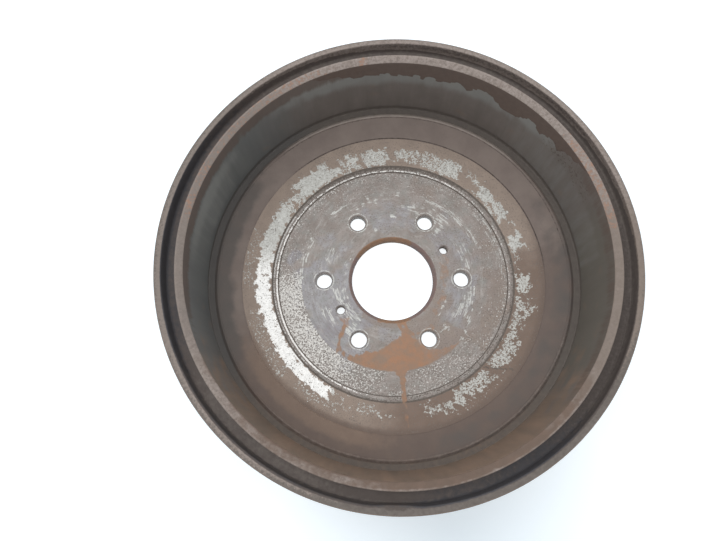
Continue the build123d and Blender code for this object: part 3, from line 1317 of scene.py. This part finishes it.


# A coat below gives its mask, colour, fleck, roughness, grain, raggedness and opacity in this
# order, and names whatever else it sets.

# Turned face of used grey iron, from the bore to the web: fine rings under a dull brown-grey
# oxide, burnished or bare where parts rubbed on it, with painted glints on the step and round
# the stud holes, so it looks like worn metal, not paint.
HUB_FINISH = IronFinish(
    "turned_grey_iron", "#9f9590", "#a69e99", roughness=0.55, skin_grain=0.9, skin_depth=0.02,
    mottle=16.0, metallic=0.12, tool_pitch=0.8, tool_depth=0.006, tool_tint=0.3,
    coats=(
        Coat(0.45, "#8f8781", "#948982", 0.65, 13.0, 1.6, 0.8, soft=0.9),
        Coat("lilac", "#959298", "#a9a9ac", 0.5, 8.0, 0.9, 0.9, metallic=0.2),
        Coat(0.42, "#847a75", "#8b827d", 0.65, 2.2, 1.6, 0.5, metallic=0.1, soft=0.9,
             lay=Lay.TURNED),
        Coat(0.38, "#b9b6b2", "#bcb8b4", 0.5, 2.6, 1.6, 0.5, metallic=0.2, soft=0.5,
             lay=Lay.TURNED),
        Coat(0.42, "#8d918d", "#979894", 0.55, 9.0, 1.5, 0.5, metallic=0.15, soft=0.9),
        Coat("dun", "#948780", "#9d8f85", 0.75, 8.0, 0.8, 0.8),
        Coat("etched", "#78716c", "#857d78", 0.6, 1.5, 1.6, 0.9, metallic=0.1, soft=0.3,
             build=-0.03),
        Coat("etched", "#dad9d5", "#bbb8b3", 0.42, 1.25, 1.6, metallic=0.4, soft=0.3, build=0.02),
        # Scuffs, and the rubbed ring with its painted glint round each stud hole
        Coat("scuff", "#d2d3cf", "#bbbcb8", 0.45, 0.8, 1.8, 0.9, metallic=0.4, soft=0.35,
             lay=Lay.TURNED),
        Coat("brown", "#a39387", "#998a7f", 0.75, 7.0, 0.9, soft=0.25, build=0.02),
        Coat("dusk", "#7f6d61", "#867469", 0.75, 9.0, 0.5, 0.95),
        Coat("hem", "#74665e", "#6e615a", 0.8, 10.0, 0.4, 0.62),
        Coat("bare", "#bbbcb8", "#a5a49f", 0.42, 1.5, 2.3, metallic=0.5, soft=0.35, build=-0.03),
        Coat("polish", "#eeeeec", "#dcdcda", 0.4, 1.5, 0.7, 0.95, metallic=0.5, within=True),
        Coat("pits", "#7a7069", "#887f78", 0.75, 1.2, 1.7, 0.8, soft=0.35, build=-0.04),
        Coat("grime", "#635b55", "#736b64", 0.8, 1.2, 1.0, soft=0.5, build=0.02),
        # Painted glints on the step's land and flank
        Coat("glint", "#edece9", "#cfccc8", 0.4, 1.3, 1.7, metallic=0.4, soft=0.3),
        Coat("rust", "#b18567", "#9c8472", 0.85, 4.5, 0.6, 0.9, soft=0.8, build=0.03),
        Coat("bore", "#87706a", "#7d6f6c", 0.8, 2.0, 0.5, soft=0.5, build=0.03),
        Coat("ember", "#9a7558", "#8a6f5a", 0.85, 3.0, 0.6, 0.85, soft=0.7, build=0.03),
    ),
)

# Sand-cast skin of the web, never turned: matt oxide over fine bumps, browner at the bottom, with
# painted shade at the sides and in its creases and a painted highlight on the shoulder's ridge,
# so it takes the light softly and shows no rings.
WEB_FINISH = IronFinish(
    "cast_web_skin", "#80746e", "#8b7f78", roughness=0.8, skin_grain=1.6, skin_depth=0.08,
    mottle=22.0,
    coats=(
        Coat("warm", "#867468", "#7e6d61", 0.85, 14.0, 0.5, 0.85),
        Coat("dusk", "#73665f", "#6c605b", 0.85, 10.0, 0.5, 0.85),
        # Painted shade on both sides of the cone, near the wall
        Coat("shade", "#64605d", "#6b6460", 0.85, 10.0, 0.5, 0.9),
        Coat("apron", "#8c7a6d", "#867468", 0.85, 6.0, 0.5, 0.9),
        # Painted highlight on the shoulder's ridge
        Coat("ridge", "#b5aaa3", "#a2978f", 0.8, 3.0, 0.4, 0.8, soft=0.8),
        # Painted shade in the creases of the web
        Coat("knee", "#514843", "#5f5550", 0.85, 2.0, 0.5, soft=0.5, build=-0.05),
    ),
)

# Wall that the shoes swept smooth: a low sheen with hair-fine rings, then years of damp, whose
# stains run down it as brown, green-grey and pale streaks under a rough crust at the lip.
CHAMBER_FINISH = IronFinish(
    "swept_drum_wall", "#7c7672", "#857f7b", roughness=0.5, skin_grain=0.9, skin_depth=0.008,
    mottle=30.0, metallic=0.2, tool_pitch=0.9, tool_depth=0.008, tool_tint=0.2,
    coats=(
        Coat(0.46, "#6e6864", "#68635f", 0.6, 11.0, 0.9, 0.6, metallic=0.1, lay=Lay.RUN),
        Coat("cool", "#697073", "#727a7b", 0.5, 8.0, 0.25, 0.75, metallic=0.15, lay=Lay.RUN),
        Coat("olive", "#716e66", "#76736b", 0.6, 8.0, 0.25, 0.8, metallic=0.1, lay=Lay.RUN),
        Coat("warm", "#9d8573", "#837467", 0.6, 8.0, 0.3, 0.92, metallic=0.1, lay=Lay.RUN),
        Coat("bloom", "#9c9f9d", "#939694", 0.6, 7.0, 0.5, 0.72, metallic=0.1, lay=Lay.RUN),
        Coat("tan", "#6e5e56", "#685b54", 0.8, 3.0, 0.7, 0.8, lay=Lay.RUN),
        Coat("crust", "#675952", "#6e5f57", 0.85, 2.5, 0.3, 0.95, soft=0.16, build=0.06),
        Coat("scar", "#4d4542", "#77695f", 0.8, 2.0, 1.7, 0.8, soft=0.4, build=-0.06),
        Coat("runout", "#706963", "#68615c", 0.8, 3.0, 0.3, soft=0.9),
        # Painted shade at the foot of the wall on the left
        Coat("gloom", "#5e5c5b", "#646260", 0.7, 6.0, 0.3, 0.8),
    ),
)

# Turned lips and the groove between them: dull oxide, rubbed and flaked on the crests, with
# painted shade, sludge and dust in the groove and painted light in its outer corner, which make
# it read as deep and dirty.
MOUTH_FINISH = IronFinish(
    "turned_mouth", "#8e837c", "#978c86", roughness=0.65, skin_grain=0.8, skin_depth=0.04,
    mottle=9.0, metallic=0.05, tool_pitch=0.8, tool_depth=0.004, tool_tint=0.2,
    coats=(
        Coat(0.46, "#7c7069", "#746a64", 0.8, 2.2, 1.5, 0.75, soft=0.6, build=-0.04),
        Coat(0.43, "#a99f99", "#9f948d", 0.7, 1.6, 1.5, 0.6, soft=0.6),
        Coat("warm", "#69594e", "#725f53", 0.75, 4.0, 0.6, 0.95),
        Coat("cool", "#7a716b", "#827871", 0.75, 3.0, 0.5, 0.7),
        Coat("olive", "#7b6f66", "#83776e", 0.75, 3.0, 0.5, 0.75),
        Coat("flake", "#a9826c", "#9a7a69", 0.85, 2.2, 1.5, 0.75, soft=0.5, build=0.04),
        Coat("rim", "#5c5651", "#6c6661", 0.8, 1.6, 1.3, 0.85, soft=0.7, build=-0.04),
        Coat("groove", "#6c635f", "#645c58", 0.85, 4.0, 0.4, soft=0.3),
        # Pale dust, and painted light in the groove's outer corner
        Coat("silt", "#7f7771", "#77706b", 0.85, 3.0, 0.8, soft=0.8),
        # Sludge and painted shade in the groove
        Coat("sump", "#4d4643", "#564e4a", 0.85, 2.0, 0.5, 0.85, soft=0.6),
        # Painted shade in the groove
        Coat("soot", "#48484c", "#504f53", 0.8, 4.0, 0.6, 0.95, soft=0.8),
    ),
)

# Sand-cast skin outside, with even old rust: matt, bumpy and plain.
OUTSIDE_FINISH = IronFinish(
    "cast_outer_skin", "#72675f", "#7f7268", roughness=0.8, skin_grain=1.8, skin_depth=0.15,
    mottle=20.0,
)


# ---- Studio ---------------------------------------------------------------------------------
@dataclass(frozen=True)
class Studio:
    """Pale floor, panel lamp, even light from all round and the camera, in metres.

    The floor glows by floor_glow where the camera or a reflection sees it. Near shade_place it
    glows only by shade_glow, a painted shadow below the rim where its real shadow is deepest,
    and below the hub by hub_glow, painted light that whitens the floor seen through the bore.
    A glow changes into the floor's between the two distances of its reach.
    """

    floor_size: float = 6.0
    floor_colour: str = "#dce9f2"
    floor_glow: float = 0.44
    shade_glow: float = 0.17
    hub_glow: float = 0.7
    shade_place: tuple[float, float, float] = (0.043, -0.205, 0.0)
    shade_reach: tuple[float, float] = (0.01, 0.14)
    hub_reach: tuple[float, float] = (0.1, 0.16)
    lamp_place: tuple[float, float, float] = (-0.3, 0.32, 1.65)
    lamp_size: float = 2.2
    lamp_power: float = 18.3
    air_level: float = 0.65
    camera_place: tuple[float, float, float] = (-0.02096, -0.10042, 0.46707)
    camera_target: tuple[float, float, float] = (-0.02632, 0.01001, 0.0)
    camera_roll: float = -3.48
    camera_lens: float = 28.17

    def floor_card(self) -> bpy.types.Material:
        """White matt card that keeps shadows but looks white to the camera and in reflections.

        Its glow falls from the floor's to the shade's near the shade's place, which paints a shadow
        there, and changes to the hub's below the hub, which paints light on the floor in the bore.

        Returns:
            The material.
        """
        bench = Bench("floor_card")
        seen = bench.add("LightPath")
        direct = bench.add(
            "Math", {0: seen.outputs["Is Camera Ray"], 1: seen.outputs["Is Glossy Ray"]},
            operation="MAXIMUM",
        )
        either = bench.add(
            "Math", {0: direct, 1: seen.outputs["Is Transmission Ray"]}, operation="MAXIMUM"
        )
        place = bench.add("TexCoord").outputs["Object"]
        away = bench.add("VectorMath", {0: place}, operation="LENGTH")
        shade = bench.add("VectorMath", {0: place, 1: self.shade_place}, operation="DISTANCE")
        beyond = bench.add(
            "MapRange",
            {"Value": shade.outputs["Value"], "From Min": self.shade_reach[0],
             "From Max": self.shade_reach[1], "To Min": self.shade_glow, "To Max": self.floor_glow},
        )
        level = bench.add(
            "MapRange",
            {"Value": away.outputs["Value"], "From Min": self.hub_reach[0],
             "From Max": self.hub_reach[1], "To Min": self.hub_glow, "To Max": beyond},
        )
        power = bench.add("Math", {0: either, 1: level}, operation="MULTIPLY")
        shader = bench.add(
            "BsdfPrincipled",
            {"Base Color": linear(self.floor_colour), "Roughness": 0.9,
             "Emission Color": (1.0, 1.0, 1.0, 1.0), "Emission Strength": power},
        )
        bench.add("OutputMaterial", {"Surface": shader})
        return bench.material

    def floor(self) -> None:
        """Lay the floor, which belongs to the stage and not to the drum, under the wheel seat."""
        half = self.floor_size / 2
        mesh = bpy.data.meshes.new("studio_floor")
        mesh.from_pydata(
            [(-half, -half, 0), (half, -half, 0), (half, half, 0), (-half, half, 0)], [], [(0, 1, 2, 3)]
        )
        floor = place_object("studio_floor", mesh)
        floor.data.materials.append(self.floor_card())

    def lamp(self) -> None:
        """Hang the square panel lamp so that it faces the origin."""
        data = bpy.data.lights.new("sky_panel", "AREA")
        data.size = self.lamp_size
        data.energy = self.lamp_power
        lamp = place_object("sky_panel", data)
        lamp.location = self.lamp_place
        lamp.rotation_mode = "QUATERNION"
        lamp.rotation_quaternion = (-Vector(self.lamp_place)).to_track_quat("-Z", "Y")

    def air(self) -> None:
        """Fill the room with even white light, and show colours as they are written."""
        world = bpy.data.worlds.new("studio_air")
        world.use_nodes = True
        background = world.node_tree.nodes["Background"]
        background.inputs["Color"].default_value = (1, 1, 1, 1)
        background.inputs["Strength"].default_value = self.air_level
        bpy.context.scene.world = world
        bpy.context.scene.view_settings.view_transform = "Standard"

    def camera(self) -> None:
        """Set up the camera above the mouth, rolled a little about its own axis."""
        data = bpy.data.cameras.new("studio_camera")
        data.lens = self.camera_lens
        data.sensor_width = 36.0
        data.clip_start = 0.01
        camera = place_object("studio_camera", data)
        place, target = Vector(self.camera_place), Vector(self.camera_target)
        aim = (target - place).to_track_quat("-Z", "Y").to_matrix()
        roll = Matrix.Rotation(math.radians(self.camera_roll), 3, "Z")
        camera.matrix_world = Matrix.Translation(place) @ (aim @ roll).to_4x4()
        bpy.context.scene.camera = camera


def main() -> None:
    """Build the drum with its finishes, then the studio."""
    logging.basicConfig(level=logging.INFO, format="%(name)s: %(message)s")
    mounts = {mount["name"]: mount for mount in frame["record"]["mounts"]}
    section = DrumSection(
        bore_radius=mounts["hub_bore"]["dims"]["r_mm"],
        friction_radius=mounts["friction_face"]["dims"]["r_mm"],
        outer_radius=cad_high.x / MM,
        overall_height=cad_high.z / MM,
    )
    finishes = (HUB_FINISH, WEB_FINISH, CHAMBER_FINISH, MOUTH_FINISH, OUTSIDE_FINISH)
    casting = DrumCasting(section).build([finish.material() for finish in finishes])
    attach(casting, "root")
    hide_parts("brake_drum")
    LOG.info("drum_casting: %d faces", len(casting.data.polygons))
    studio = Studio()
    studio.floor()
    studio.lamp()
    studio.camera()
    studio.air()
    LOG.info("studio: floor, one lamp and the camera")


if __name__ == "__main__":
    main()
